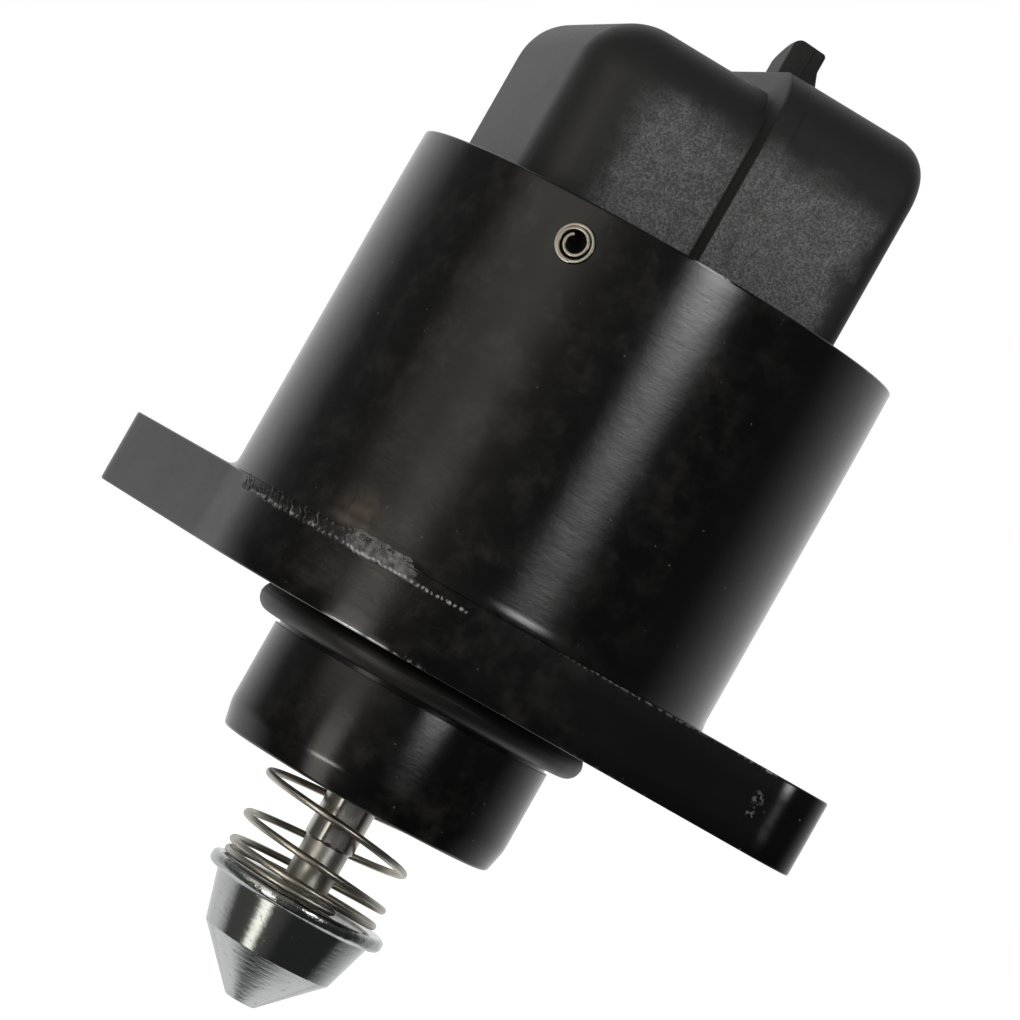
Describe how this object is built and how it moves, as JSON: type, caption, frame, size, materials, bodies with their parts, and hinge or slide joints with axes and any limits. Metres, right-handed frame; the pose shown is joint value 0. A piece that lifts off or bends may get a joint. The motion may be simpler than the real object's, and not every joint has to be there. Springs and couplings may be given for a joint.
{
  "type": "idle air control valve",
  "caption": "Flanged idle air control valve: a stepper motor screws a sprung conical pintle in and out of a sealed nose, with a right-angle plug socket on top.",
  "frame": {"origin": "centre of the flange's mounting face, on the valve's axis", "axes": "+Z along the valve's axis from the pintle towards the plug socket, +Y the way the socket's mouth faces, +X to the right seen from behind the socket"},
  "size_m": [0.0434, 0.0434, 0.0709],
  "materials": {
    "painted_casting": "black paint over an aluminium casting, half gloss, with burrs and chips",
    "seal_rubber": "black moulded rubber",
    "bush_bronze": "sintered bronze",
    "bearing_steel": "ground and polished bearing steel",
    "cage_brass": "pressed brass",
    "stator_steel": "zinc plated pressed steel",
    "bobbin_plastic": "natural moulded nylon",
    "coil_copper": "enamelled copper wire, layer wound",
    "magnet_ferrite": "sintered ferrite",
    "hub_plastic": "glass filled nylon",
    "nut_brass": "machined brass",
    "shaft_steel": "drawn stainless steel",
    "pintle_zinc": "turned steel with bright zinc plating",
    "spring_steel": "oil tempered spring wire, warm grey",
    "connector_plastic": "black moulded plastic with a spark eroded grain",
    "terminal_tin": "tin plated copper alloy",
    "pin_steel": "coiled spring steel strip"
  },
  "bodies": {
    "housing": {"housing": "painted_casting", "nose_seal": "seal_rubber", "guide_bush": "bush_bronze", "bearing_outer_race": "bearing_steel", "lower_stator_cup": "stator_steel", "lower_stator_plate": "stator_steel", "lower_bobbin": "bobbin_plastic", "lower_coil": "coil_copper", "upper_stator_cup": "stator_steel", "upper_stator_plate": "stator_steel", "upper_bobbin": "bobbin_plastic", "upper_coil": "coil_copper", "rear_bush": "bush_bronze", "connector_cap": "connector_plastic", "cap_seal": "seal_rubber", "terminal_1": "terminal_tin", "terminal_2": "terminal_tin", "terminal_3": "terminal_tin", "terminal_4": "terminal_tin", "roll_pin_front": "pin_steel", "roll_pin_rear": "pin_steel"},
    "rotor": {"bearing_inner_race": "bearing_steel", "rotor_hub": "hub_plastic", "rotor_nut": "nut_brass", "rotor_magnet": "magnet_ferrite"},
    "ball_cage": {"bearing_balls": "bearing_steel", "bearing_cage": "cage_brass"},
    "pintle": {"lead_screw": "shaft_steel", "pintle": "pintle_zinc", "return_spring": "spring_steel"}
  },
  "joints": [
    {"name": "rotor_spin", "type": "hinge", "parent": "housing", "child": "rotor", "pos_m": [0, 0, 0.0095], "axis": [0, 0, 1], "range_deg": [-1080, 1260]},
    {"name": "pintle_slide", "type": "slide", "parent": "housing", "child": "pintle", "axis": [0, 0, 1], "range_m": [-0.0036, 0.0042], "deforming": ["return_spring"]},
    {"name": "cage_orbit", "type": "hinge", "parent": "housing", "child": "ball_cage", "pos_m": [0, 0, 0.0002], "axis": [0, 0, 1], "range_deg": [-406.4, 474.1]}
  ],
  "couplings": [
    {"joint": "pintle_slide", "follows": "rotor_spin", "m_per_rad": 0.00019099},
    {"joint": "cage_orbit", "follows": "rotor_spin", "ratio": 0.37619}
  ]
}
